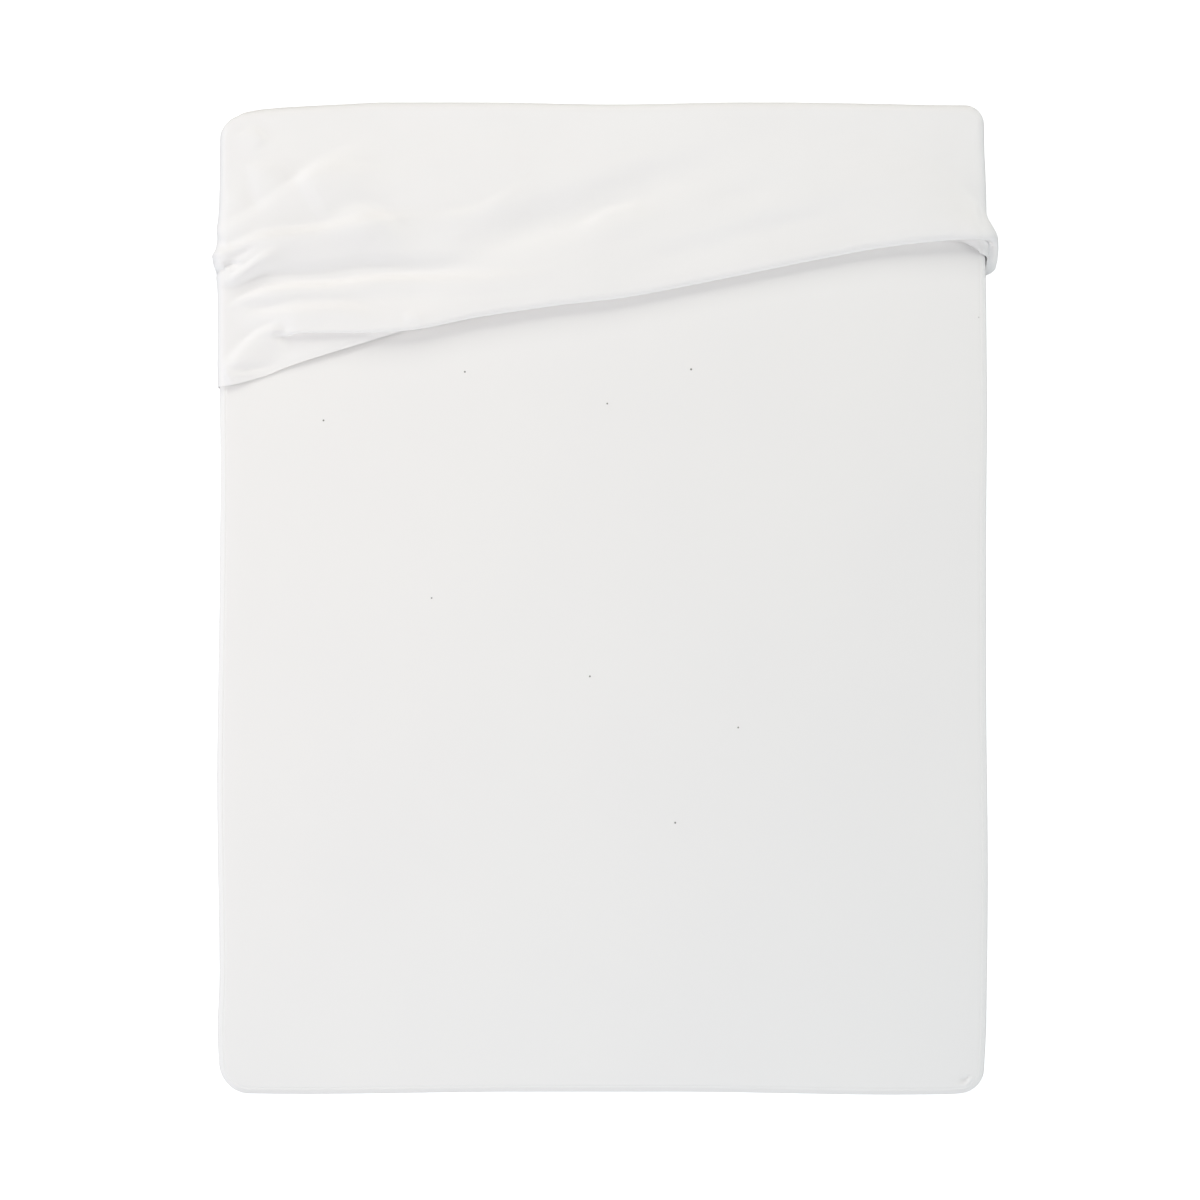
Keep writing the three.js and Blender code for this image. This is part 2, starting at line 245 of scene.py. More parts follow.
OPEN_END = tuple(OpenEndRow(*row) for row in (
    # around, nose, rim, turn, bend, tuck, lift, rise
    (-1798, 610, 520, 0, 12, 5, 0, 80),
    (-1024, 540, 420, 0, 12, 5, 0, 80),
    (-774, 528, 425, 0, 12, 5, 0, 80),
    (-682, 525, 446, 8, 9, 5, 1.6, 80),
    (-642, 529, 462, 60, 8, 4, 2.8, 80),
    (-598, 533, 477, 150, 10, 6, 6, 80),
    (-490, 533, 510, 180, 14.5, 16, 9.5, 80),
    (-401, 537, 537, 180, 19, 26, 9, 85),
    (-248, 565, 577, 180, 28, 42, 5, 130),
    (-86, 589, 605, 180, 30, 50, 2, 180),
    (35, 603, 622, 180, 30, 54, 1, 190),
    (196, 633, 653, 180, 30, 54, 0, 190),
    (439, 682, 697, 180, 30, 44, 0, 190),
    (561, 704, 710, 178, 30, 30, 0, 190),
    (661, 716, 716, 165, 31, 14, 1, 160),
    (700, 719, 718, 160, 30, 12, 2, 130),
    (728, 720, 716, 156, 27, 10, 3, 105),
    (742, 720, 709, 150, 23, 8, 6.5, 90),
    (758, 720, 699, 142, 21, 7, 6.5, 74),
    (774, 718, 688, 128, 18, 6, 3.5, 55),
    (788, 692, 678, 98, 21, 7, 0.8, 60),
    (800, 677, 668, 78, 26, 8, 0.3, 76),
    (824, 658, 648, 80, 28, 6, 0, 82),
    (904, 660, 640, 74, 20, 6, 0, 110),
    (994, 680, 636, 30, 14, 5, 0, 80),
    (1024, 695, 640, 0, 12, 5, 0, 80),
    (1798, 610, 520, 0, 12, 5, 0, 80),
))


class OpenEnd:
    """The table of the open end, read at any place around with no kink at its rows."""

    def __init__(self, rows: Sequence[OpenEndRow]) -> None:
        """Keeps the rows as columns and works out the slope of each column at each row.

        Args:
            rows: the table, in order around.
        """
        self.places = np.array([row.around for row in rows], dtype=float)
        names = ("nose", "rim", "turn", "bend", "tuck", "lift", "rise")
        self.columns = {name: np.array([float(getattr(row, name)) for row in rows]) for name in names}
        self.slopes = {name: self._slopes(values) for name, values in self.columns.items()}

    def _slopes(self, values: Array) -> Array:
        """Works out a column's slopes, level where the column turns back or stays the same.

        Args:
            values: the column.

        Returns:
            The slope at each row.
        """
        steps = np.diff(values) / np.diff(self.places)
        left, right = steps[:-1], steps[1:]
        total = np.where(left + right == 0, 1.0, left + right)
        inner = np.where(left * right > 0, 2 * left * right / total, 0.0)
        return np.concatenate([[0.0], inner, [0.0]])

    def at(self, name: str, around: Value) -> Value:
        """Reads one column.

        Args:
            name: the column's name.
            around: the place or places around.

        Returns:
            The column's value there.
        """
        after = np.clip(np.searchsorted(self.places, around), 1, len(self.places) - 1)
        span = self.places[after] - self.places[after - 1]
        t = (around - self.places[after - 1]) / span
        values, slopes = self.columns[name], self.slopes[name]
        rise = 2 * t**3 - 3 * t**2 + 1
        return (
            rise * values[after - 1]
            + (t**3 - 2 * t**2 + t) * span * slopes[after - 1]
            + (1 - rise) * values[after]
            + (t**3 - t**2) * span * slopes[after]
        )


@dataclass(frozen=True)
class Fold:
    """One fold of the cloth: a soft ridge along a line, or a trough where its height is below 0.

    line runs through places given as the distance around and Y. head and foot are the widths of its two
    sides, and fade is the share of its length over which it rises from each end.
    """

    name: str
    line: tuple[tuple[float, float], ...]
    height: float
    head: float
    foot: float
    fade: tuple[float, float]


FOLDS = (
    Fold("upper_left_ridge", ((-785, 702), (-741, 742), (-711, 758), (-676, 781), (-644, 803),
         (-610, 827), (-571, 860), (-521, 884), (-478, 906), (-440, 922)), 8.5, 15, 60, (0.18, 0.4)),
    Fold("upper_left_swell", ((-615, 820), (-575, 842), (-540, 852), (-470, 850), (-380, 840)), 7.0, 18,
         60, (0.15, 0.8)),
    Fold("left_fan_ridge", ((-800, 676), (-769, 682), (-741, 694), (-709, 708), (-676, 718), (-632, 723),
         (-577, 730), (-531, 740), (-470, 752), (-380, 760), (-300, 764)), 14.5, 12, 36, (0.12, 0.5)),
    Fold("fan_swell", ((-575, 738), (-530, 756), (-490, 764), (-455, 756), (-425, 730), (-380, 700)), 9.5,
         16, 50, (0.5, 0.5)),
    Fold("fan_crease", ((-790, 676), (-731, 690), (-707, 704), (-680, 712)), -5.5, 6, 7, (0.1, 0.4)),
    Fold("short_ridge", ((-768, 627), (-741, 641), (-713, 660), (-680, 684), (-640, 702)), 10.0, 8, 14,
         (0.25, 0.4)),
    Fold("valley", ((-800, 585), (-755, 600), (-741, 612), (-713, 625), (-686, 634), (-632, 641),
         (-551, 645), (-507, 652), (-460, 657), (-369, 658), (-248, 662), (-147, 668)), -13.5, 20, 12,
         (0.2, 0.5)),
    Fold("valley_ridge", ((-770, 580), (-741, 591), (-686, 611), (-632, 617), (-551, 617), (-460, 627),
         (-369, 631), (-248, 635), (-127, 649), (-26, 672)), 3.0, 12, 16, (0.05, 0.3)),
    Fold("lower_valley", ((-800, 560), (-751, 573), (-727, 585), (-668, 588), (-612, 598), (-541, 600),
         (-410, 604)), -2.5, 9, 9, (0.05, 0.5)),
    Fold("lower_ridge", ((-733, 546), (-700, 558), (-652, 566), (-587, 573), (-531, 577), (-440, 565)),
         5.0, 11, 16, (0.2, 0.3)),
    Fold("dimple", ((-402, 556), (-386, 560), (-352, 560)), 3.0, 10, 8, (0.4, 0.4)),
    Fold("flap_ridge", ((-772, 452), (-749, 464), (-725, 490), (-704, 512), (-684, 528), (-660, 537),
         (-636, 542)), 9.5, 11, 30, (0.1, 0.2)),
    Fold("flap_wrinkle", ((-800, 446), (-763, 460), (-727, 459), (-680, 465), (-634, 476)), -4.5, 6, 6,
         (0.05, 0.5)),
    Fold("corner_fold", ((-718, 972), (-700, 944), (-680, 918)), 5.0, 9, 26, (0.2, 0.4)),
    Fold("corner_swell", ((-725, 852), (-700, 858), (-670, 860), (-620, 862)), 4.5, 14, 44, (0.3, 0.7)),
    Fold("edge_ridge", ((-785, 735), (-765, 750), (-753, 779), (-737, 805), (-713, 825)), 5.0, 18, 34,
         (0.1, 0.4)),
    Fold("middle_ridge", ((-365, 744), (-319, 759), (-262, 769), (-228, 783), (-193, 803), (-167, 819),
         (-127, 831)), 6.0, 12, 40, (0.3, 0.4)),
    Fold("middle_valley", ((-330, 706), (-210, 728), (-86, 763), (-6, 791), (75, 823), (156, 851),
         (237, 880), (338, 910)), -10.0, 34, 32, (0.3, 0.4)),
    Fold("thin_ridge", ((-60, 734), (-26, 746), (7, 769), (43, 777), (95, 795)), 4.5, 9, 34, (0.3, 0.3)),
    Fold("long_valley", ((-6, 641), (63, 662), (126, 684), (235, 710), (340, 738), (429, 759), (528, 795),
         (594, 829)), -6.0, 22, 44, (0.3, 0.4)),
    Fold("faint_valley", ((203, 799), (287, 811), (380, 839)), -2.5, 20, 20, (0.4, 0.4)),
    Fold("pinch_bulge", ((-738, 689), (-765, 687), (-790, 683), (-840, 678), (-900, 672)), 8.0, 20, 16,
         (0.2, 0.5)),
    Fold("pinch_line", ((-812, 650), (-784, 655), (-767, 664), (-748, 671), (-722, 673)), -10.5, 5, 4.5,
         (0.05, 0.3)),
    Fold("left_wall_fold", ((-790, 650), (-880, 638), (-950, 650), (-1010, 665)), 5.0, 18, 12,
         (0.1, 0.4)),
    Fold("left_wall_sweep", ((-800, 705), (-870, 730), (-940, 780), (-1000, 850)), 2.5, 26, 34,
         (0.1, 0.5)),
    Fold("left_wall_low", ((-830, 540), (-900, 532), (-1000, 545)), 3.0, 20, 26, (0.4, 0.3)),
    Fold("right_wall_fold", ((795, 704), (860, 700), (940, 722), (1010, 760)), 4.0, 18, 16, (0.3, 0.4)),
    Fold("right_wall_sweep", ((840, 800), (900, 830), (980, 900)), 3.0, 26, 34, (0.4, 0.4)),
)

CORNER_DENTS = (
    Fold("corner_crease", ((714, -962), (731, -972), (752, -971)), -3.5, 5, 4, (0.4, 0.2)),
    Fold("corner_ridge", ((722, -989), (742, -981), (760, -968)), 2.5, 5, 6, (0.3, 0.2)),
)


def smooth_line(points: Sequence[tuple[float, float]], step: float = 8.0) -> Array:
    """Draws a smooth line through some places.

    Args:
        points: the places, at least two.
        step: about how far apart the line's own points lie, in millimetres.

    Returns:
        The line's points, a row for each.
    """
    ends = np.array(points, dtype=float)
    padded = np.vstack([2 * ends[0] - ends[1], ends, 2 * ends[-1] - ends[-2]])
    line = []
    for a, b, c, d in zip(padded, padded[1:], padded[2:], padded[3:]):
        count = max(2, int(np.linalg.norm(c - b) / step))
        t = np.arange(count)[:, None] / count
        line.append(0.5 * (2 * b + (c - a) * t + (2 * a - 5 * b + 4 * c - d) * t**2
                           + (3 * b - 3 * c + d - a) * t**3))
    return np.vstack([*line, ends[-1:]])


def nearest_on_line(line: Array, places: Array) -> tuple[Array, Array, Array]:
    """Finds the point of a line that is nearest to each place.

    Args:
        line: the line's points, a row for each.
        places: the places, a row for each.

    Returns:
        For each place, how far away that point is, at what share of the line's length it lies, and on
        which side of the line the place is, above 0 to the left of its course.
    """
    steps = np.diff(line, axis=0)
    lengths = np.linalg.norm(steps, axis=1)
    before = np.concatenate([[0.0], np.cumsum(lengths)])
    best = np.full(len(places), np.inf)
    along = np.zeros(len(places))
    side = np.zeros(len(places))
    for start, course, length, passed in zip(line, steps, lengths, before):
        offset = places - start
        t = np.clip((offset @ course) / length**2, 0.0, 1.0)
        away = offset - t[:, None] * course
        distance = np.linalg.norm(away, axis=1)
        closer = distance < best
        best = np.where(closer, distance, best)
        along = np.where(closer, passed + t * length, along)
        side = np.where(closer, course[0] * away[:, 1] - course[1] * away[:, 0], side)
    return best, along / before[-1], side


def fold_height(fold: Fold, around: Array, y: Array) -> Array:
    """Works out how high one fold stands at each place.

    Args:
        fold: the fold.
        around: the places' distances around.
        y: the places' Y.

    Returns:
        The height at each place, in millimetres.
    """
    line = smooth_line(fold.line)
    reach = 2.0 * max(fold.head, fold.foot) + FOLD_MARGIN
    left, low = line.min(axis=0) - reach
    right, high = line.max(axis=0) + reach
    near = (around > left) & (around < right) & (y > low) & (y < high)
    height = np.zeros_like(around)
    if not near.any():
        return height
    best, share, side = nearest_on_line(line, np.stack([around[near], y[near]], axis=-1))
    if line[-1, 0] < line[0, 0]:
        side = -side
    width = np.where(side > 0, fold.head, fold.foot)
    across = 1.0 - smoothstep(best / (2.0 * width), 0.0, 1.0)
    first, last = fold.fade
    ends = smoothstep(share, -FOLD_LEAD, first) * smoothstep(1.0 - share, 0.0, last)
    height[near] = fold.height * across * ends
    return height


@dataclass(frozen=True)
class Skin:
    """The mattress's own surface, and the surfaces that lie a little off it.

    The open end tells where cloth lies beneath the mattress and lifts its underside.
    """

    size: BlockSize
    open_end: OpenEnd

    def place(self, flat: Array, part: Array, offset: Array, around: Array) -> Array:
        """Finds points on the surface or off it.

        Args:
            flat: the point's place on the flat faces, where the rounded border starts, in its last axis.
            part: its part of the rounded border across, along and up, from -1 to 1, in its last axis.
            offset: how far it lies off the surface.
            around: its distance around.

        Returns:
            The points, in millimetres, in the last axis.
        """
        border = np.maximum(np.abs(part[..., 0]), np.abs(part[..., 1]))
        rise = np.abs(part[..., 2])
        both = (border > 0) & (rise > 0)
        longest = np.maximum(np.hypot(border, rise), 1e-9)
        round_share = np.where(both, np.maximum(border, rise) / longest, 1.0)
        reach = (self.size.edge_radius + offset) * round_share
        points = flat + part * reach[..., None]
        self._round_corners(points, offset)
        self._ease_head(points, around)
        self._bow_faces(points)
        return points

    def _round_corners(self, points: Array, offset: Array) -> None:
        """Rounds the plan's corners: squares about a corner's centre become arcs of its radius.

        Args:
            points: the points, which are moved.
            offset: how far each lies off the surface.
        """
        head_left, head_right, foot_left, foot_right = self.size.corners
        plan = points[..., :2]
        left = plan[..., 0] < 0
        at_head = np.where(left, head_left, head_right)
        at_foot = np.where(left, foot_left, foot_right)
        radius = np.where(plan[..., 1] > 0, at_head, at_foot)[..., None]
        centre = np.array([self.size.width, self.size.length]) / 2 - radius
        reach = radius + np.broadcast_to(offset, left.shape)[..., None]
        beyond = (np.abs(plan) - centre) / reach
        inside = (beyond > 0).all(axis=-1, keepdims=True)
        longest = np.maximum(np.hypot(beyond[..., :1], beyond[..., 1:]), 1e-9)
        share = beyond.max(axis=-1, keepdims=True) / longest
        points[..., :2] = np.where(inside, np.sign(plan) * (centre + beyond * share * reach), plan)

    def _ease_head(self, points: Array, around: Array) -> None:
        """Narrows the head, lets its left corner sag, and lifts the underside by the cloth beneath.

        Args:
            points: the points, which are moved.
            around: their distances around.
        """
        size = self.size
        x, y, z = np.moveaxis(points, -1, 0)
        narrowing = size.head_narrowing * smoothstep(y, size.narrows_from, size.narrows_to)
        cover = smoothstep(y - self.open_end.at("rim", around), size.lift_from, size.lift_to)
        x *= 1.0 - narrowing / (size.width / 2)
        towards = np.clip((size.sag_from - x) / (size.sag_from - size.sag_to), 0.0, 1.0)
        sag = size.sag_drop * towards + size.corner_drop * towards**size.corner_power
        y -= sag * smoothstep(y, size.length / 2 - size.sag_reach, size.length / 2)
        z += size.cloth_lift * cover * (1.0 - np.clip(z / size.height, 0.0, 1.0))

    def _bow_faces(self, points: Array) -> None:
        """Swells the upright faces a little, more the nearer a point lies to them.

        Args:
            points: the points, which are moved.
        """
        halves = (self.size.width / 2, self.size.length / 2)
        before = points.copy()
        for bow in BOWS:
            axis, side = bow.face.value
            near = smoothstep(side * before[..., axis], halves[axis] - self.size.bow_fade, halves[axis])
            share = 1.0 - smoothstep(np.abs(before[..., 1 - axis] - bow.centre) / bow.reach, 0.0, 1.0)
            points[..., axis] += side * bow.out * near * share


def drift(places: Array, scale: float, seed: float) -> Array:
    """Draws smooth noise with no preferred direction.

    Args:
        places: the places, a row of two numbers for each, in millimetres.
        scale: about how far apart its swells lie, in millimetres.
        seed: tells one noise from another.

    Returns:
        A value from about -1 to 1 at each place.
    """
    return np.array([noise.noise(Vector((x, y, seed))) for x, y in places / scale])


@dataclass(frozen=True)
class ClothFinish:
    """What both cloths share: a drifting colour, a matt surface, and ribs that run across and along.

    rib_share is the share of the ribs' spacing across that they have along, and joined how they meet.
    """

    name: str
    colour: str
    shade: str
    cloud_m: float
    roughness: float
    sheen: float
    specular: float
    rib_mm: float
    rib_share: float
    joined: str
    relief_mm: float
    relief_strength: float

    def material(self) -> bpy.types.Material:
        """Makes the material.

        Returns:
            The material.
        """
        made = bpy.data.materials.new(self.name)
        made.use_nodes = True
        tree = made.node_tree
        shader = tree.nodes["Principled BSDF"].inputs
        place = self._place(tree)
        cloudy = add_node(tree, "ShaderNodeTexNoise",
                          {"Vector": place, "Scale": 1.0 / self.cloud_m, "Detail": 3.0})
        colours = {0: cloudy.outputs["Fac"], 6: to_linear(self.colour), 7: to_linear(self.shade)}
        dyed = add_node(tree, "ShaderNodeMix", colours, data_type="RGBA")
        ribs = {}
        for number, (axis, apart) in enumerate((("X", self.rib_mm), ("Y", self.rib_mm * self.rib_share))):
            scale = WAVE_REPEAT / (apart * MM)
            ribs[number] = add_node(tree, "ShaderNodeTexWave", {"Vector": place, "Scale": scale},
                                    bands_direction=axis).outputs["Fac"]
        woven = add_node(tree, "ShaderNodeMath", ribs, operation=self.joined)
        bump = add_node(tree, "ShaderNodeBump", {"Height": self._raise(tree, place, woven.outputs[0]),
                                                 "Strength": self.relief_strength,
                                                 "Distance": self.relief_mm * MM})
        tree.links.new(self._mark(tree, place, dyed.outputs[2]), shader["Base Color"])
        tree.links.new(bump.outputs["Normal"], shader["Normal"])
        shader["Roughness"].default_value = self.roughness
        shader["Sheen Weight"].default_value = self.sheen
        shader["Specular IOR Level"].default_value = self.specular
        return made

    def _place(self, tree: Tree) -> Socket:
        """Returns the coordinates that the patterns read: here Object coordinates, in metres."""
        return add_node(tree, "ShaderNodeTexCoord").outputs["Object"]

    def _mark(self, tree: Tree, place: Socket, colour: Socket) -> Socket:
        """Returns the colour with its marks, of which there are none here."""
        return colour

    def _raise(self, tree: Tree, place: Socket, woven: Socket) -> Socket:
        """Returns the height of the relief, here that of the ribs alone."""
        return woven


@dataclass(frozen=True)
class KnitFinish(ClothFinish):
    """White polyester knit, brushed soft on its outer side."""

    name: str = "white_brushed_polyester_knit"
    # Bleached and dyed a warm white, which drifts a little over the cloth.
    colour: str = "#efedec"
    shade: str = "#ebe9e8"
    cloud_m: float = 0.2
    # Raised fibre ends scatter the light, so the cloth looks matt, with a pale bloom at grazing angles.
    roughness: float = 0.92
    sheen: float = 0.12
    specular: float = 0.25
    # Real wales lie about 0.8 mm apart and the nap's fibres 0.2 mm, both too fine to show, so the wales are
    # drawn three times as coarse and the nap about five times.
    rib_mm: float = 2.4
    rib_share: float = 1 / 1.3
    joined: str = "MULTIPLY"
    nap_mm: float = 1.1
    relief_mm: float = 0.2
    relief_strength: float = 0.25

    def _place(self, tree: Tree) -> Socket:
        """Returns the piece's own UV map, which follows the cloth over its folds, in metres."""
        return add_node(tree, "ShaderNodeUVMap", uv_map="cloth").outputs["UV"]

    def _raise(self, tree: Tree, place: Socket, woven: Socket) -> Socket:
        """Returns the height of the loops with the nap's added."""
        nap = add_node(tree, "ShaderNodeTexNoise",
                       {"Vector": place, "Scale": 1.0 / (self.nap_mm * MM), "Detail": 2.0}).outputs["Fac"]
        return add_node(tree, "ShaderNodeMath", {0: woven, 1: nap}, operation="ADD").outputs[0]


@dataclass(frozen=True)
class TickingFinish(ClothFinish):
    """White ticking of cotton and polyester, woven plain and tight."""

    name: str = "white_woven_ticking"
    # Hardly any colour: bleached thread, with a broad drift from batch to batch of it.
    colour: str = "#eeecea"
    shade: str = "#ebe9e8"
    cloud_m: float = 0.33
    # Short spun fibres keep it matt, with almost no bloom at grazing angles.
    roughness: float = 0.9
    sheen: float = 0.05
    specular: float = 0.25
    # Real threads lie about 0.4 mm apart, too fine to show, so they are drawn four times as coarse.
    rib_mm: float = 1.6
    rib_share: float = 1.0
    joined: str = "MAXIMUM"
    relief_mm: float = 0.1
    relief_strength: float = 0.15
    # A few small dark specks on the cloth: X, Y and radius. Each is darkest within its core.
    speck_colour: str = "#6f6c68"
    speck_level: float = 0.25
    speck_rim: float = 1.4
    speck_core: float = 0.6
    specks: tuple[tuple[float, float, float], ...] = (
        (-563, 357, 1.7), (-278, 455, 1.7), (9, 391, 1.6), (178, 460, 1.9), (-345, -1, 1.5),
        (-26, -159, 1.7), (273, -262, 1.6), (146, -454, 1.8), (758, 565, 1.2),
    )

    def _mark(self, tree: Tree, place: Socket, colour: Socket) -> Socket:
        """Lays the small dark specks on the colour.

        Args:
            tree: the material's nodes.
            place: Object coordinates.
            colour: the cloth's own colour.

        Returns:
            The colour with the dark specks.
        """
        for x, y, radius in self.specks:
            away = add_node(tree, "ShaderNodeVectorMath",
                            {0: place, 1: (x * MM, y * MM, self.speck_level)}, operation="DISTANCE")
            dark = add_node(tree, "ShaderNodeMapRange", {"Value": away.outputs["Value"],
                                                         "From Min": radius * self.speck_rim * MM,
                                                         "From Max": radius * self.speck_core * MM})
            colours = {0: dark.outputs[0], 6: colour, 7: to_linear(self.speck_colour)}
            colour = add_node(tree, "ShaderNodeMix", colours, data_type="RGBA").outputs[2]
        return colour


@dataclass
class Encasement:
    """The cloth encasement: one sheet, closed at the head, folded under at its open end.

    Sizes are millimetres. slack is how far the cloth stands off the mattress between its folds.
    """

    skin: Skin
    open_end: OpenEnd
    finish: KnitFinish
    thickness: float = 2.0
    # The gap beneath the cloth on flats and at edges, and how far from an edge the one becomes the other.
    flat_gap: float = 0.3
    edge_gap: float = 2.0
    edge_band: tuple[float, float] = (30.0, 90.0)
    # Below this height on the walls the mattress starts to hold the cloth.
    free_above: float = 44.0
    back_bend: float = 6.5
    slack_top: float = 11.0
    slack_wall: float = 0.9
    tight_head: float = 20.0
    head_reach: float = 190.0
    side_reach: float = 120.0
    relief_reach: float = 60.0
    # Ripples: height, spacing and the number that tells one noise from another.
    ripples: tuple[tuple[float, float, float], ...] = ((0.9, 46.0, 3.0), (0.35, 19.0, 11.0))
    ripple_turn: float = 20.0
    ripple_stretch: float = 3.2
    # The head wall swells within these margins, unevenly.
    swell_side: float = 90.0
    swell_top: float = 40.0
    swell_low: tuple[float, float] = (20.0, 70.0)
    swell_noise: tuple[float, float] = (70.0, 21.0)
    swell_stretch: float = 2.5
    swell_mean: float = 0.4
    swell_change: float = 1.4
    top_steps: tuple[tuple[float, float], ...] = ((-350.0, 4.2), (650.0, 10.5), (760.0, 6.0))
    wall_rows: int = 20
    under_columns: int = 26
    body_steps: int = 88
    body_ease: float = 1.3
    # Places round the front, along the layer behind, round its bend back and along the hem.
    fold_steps: tuple[int, int, int, int] = (16, 7, 7, 14)
    folded_turn: tuple[float, float] = (15.0, 60.0)
    hidden_reach: float = 16.0
    hem_ease: float = 1.5
    bend_start: float = 0.2
    curl_share: float = 0.4
    curl_reach: float = 20.0
    lip_rise: float = 0.8
    lip_reach: float = 4.5
    full_lip_lift: float = 3.0
    merge: float = 0.02
    least_edge: float = 0.01
    smooth_below: float = 50.0
    folds: tuple[Fold, ...] = FOLDS
    columns: dict[str, Array] = field(default_factory=dict)

    def build(self) -> bpy.types.Object:
        """Makes the sheet's middle surface, gives it its thickness and dresses it.

        Returns:
            The finished piece.
        """
        self._lay_columns()
        points, uv = self._grid()
        piece = self._mesh(points, uv)
        thick = piece.modifiers.new("thickness", "SOLIDIFY")
        thick.thickness = self.thickness * MM
        thick.offset = 0.0
        bpy.ops.object.select_all(action="DESELECT")
        bpy.context.view_layer.objects.active = piece
        piece.select_set(True)
        bpy.ops.object.modifier_apply(modifier=thick.name)
        bpy.ops.object.shade_smooth_by_angle(angle=math.radians(self.smooth_below))
        piece.data.materials.append(self.finish.material())
        return piece

    def _lay_columns(self) -> None:
        """Lays out the columns around: over the top to the right, down, back beneath, and up."""
        size = self.skin.size
        right, high, low = size.flat_x, size.flat_high, size.edge_radius
        top = [-right]
        for end, step in self.top_steps:
            count = round((end - top[-1]) / step)
            top += list(np.linspace(top[-1], end, count + 1)[1:])
        beneath = np.linspace(right, -right, self.under_columns + 1)
        heights = np.linspace(high, low, self.wall_rows + 1)
        rows = [(x, x, 0.0, high, 1.0) for x in top]
        rows += self._edge(size.top_edge, right, high, False)
        rows += [(size.low_edge - z, right, 1.0, z, 0.0) for z in heights]
        rows += self._edge(size.low_edge, right, low, True)
        rows += [(size.under_middle - x if x >= 0 else -size.under_middle - x, x, 0.0, low, -1.0)
                 for x in beneath]
        rows += self._edge(-size.low_edge, -right, low, False)
        rows += [(z - size.low_edge, -right, -1.0, z, 0.0) for z in heights[::-1]]
        rows += self._edge(-size.top_edge, -right, high, True)
        self.columns = dict(zip(("around", "x", "x_part", "z", "z_part"), np.array(rows).T))
        self.columns["heights"] = heights
        self.columns["top"] = np.array(top)

    def _edge(self, around: float, x: float, z: float, side_first: bool) -> list[tuple[float, ...]]:
        """Lays out the columns over one rounded edge.

        Args:
            around: the edge's distance around.
            x: where the flat of the top or underside ends.
            z: where the flat of the wall ends.
            side_first: whether the loop comes from the wall.

        Returns:
            A row for each column.
        """
        side, up = math.copysign(1, x), 1 if z > self.skin.size.height / 2 else -1
        parts = [(part, 1.0) for part in EDGE_PARTS] + [(1.0, part) for part in EDGE_PARTS[-2::-1]]
        if side_first:
            parts.reverse()
        half = self.skin.size.edge_radius / 2
        return [(around + (across - high) * half * side * up, x, across * side, z, high * up)
                for across, high in parts]

    def _lying_gap(self, around: Array) -> Array:
        """Returns the gap between the mattress and cloth that lies on it."""
        from_edge = np.abs(np.abs(around) - self.skin.size.top_edge)
        return lerp(self.edge_gap, self.flat_gap, smoothstep(from_edge, *self.edge_band))

    def _free(self, around: Array) -> Array:
        """Returns 1 over the top and the walls, and 0 beneath, where the mattress holds the cloth."""
        edge = self.skin.size.low_edge
        return 1.0 - smoothstep(np.abs(around), edge - self.free_above, edge - self.skin.size.edge_radius)

    def _off_head(self, y: Array, reach: float) -> Array:
        """Returns 0 where the cloth is pulled tight at the head, and 1 from this reach on."""
        return smoothstep(self.skin.size.length / 2 - y, self.tight_head, reach)

    def _least_height(self, around: Array, y: Array) -> Array:
        """Returns how far the middle of a single layer stands off where it lies against the mattress."""
        tight = lerp(self.edge_gap, self.flat_gap, self._off_head(y, self.head_reach))
        return self.thickness / 2 + lerp(
            self.flat_gap, np.maximum(self._lying_gap(around), tight), self._free(around))

    def _slack(self, around: Array, y: Array) -> Array:
        """Returns how far the cloth stands off further, between its folds."""
        height = lerp(self.slack_wall, self.slack_top,
                      smoothstep(self.skin.size.top_edge - np.abs(around), 0.0, self.side_reach))
        return height * self._off_head(y, self.head_reach) * self._free(around)

    def _relief(self, around: Array, y: Array) -> Array:
        """Returns the height of the folds and ripples, which fade out where the cloth is held tight."""
        height = sum(fold_height(fold, around, y) for fold in self.folds) + self._rippled(around, y)
        return height * self._off_head(y, self.relief_reach) * self._free(around)

    def _rippled(self, around: Array, y: Array) -> Array:
        """Draws the cloth's fine uneven ripples, drawn out along the way its folds run.

        Args:
            around: the places' distances around.
            y: the places' Y.

        Returns:
            The heights, in millimetres.
        """
        turn = math.radians(self.ripple_turn)
        along = around * math.cos(turn) + y * math.sin(turn)
        across = -around * math.sin(turn) + y * math.cos(turn)
        places = np.stack([along.ravel() / self.ripple_stretch, across.ravel()], axis=-1)
        ripples = [height * drift(places, apart, seed) for height, apart, seed in self.ripples]
        return sum(ripples).reshape(around.shape)

    def _lay_height(self, around: Array, y: Array) -> Array:
        """Returns how far the middle of a single layer stands off the mattress, with its folds."""
        above = np.maximum(self._slack(around, y) + self._relief(around, y), 0.0)
        return self._least_height(around, y) + above

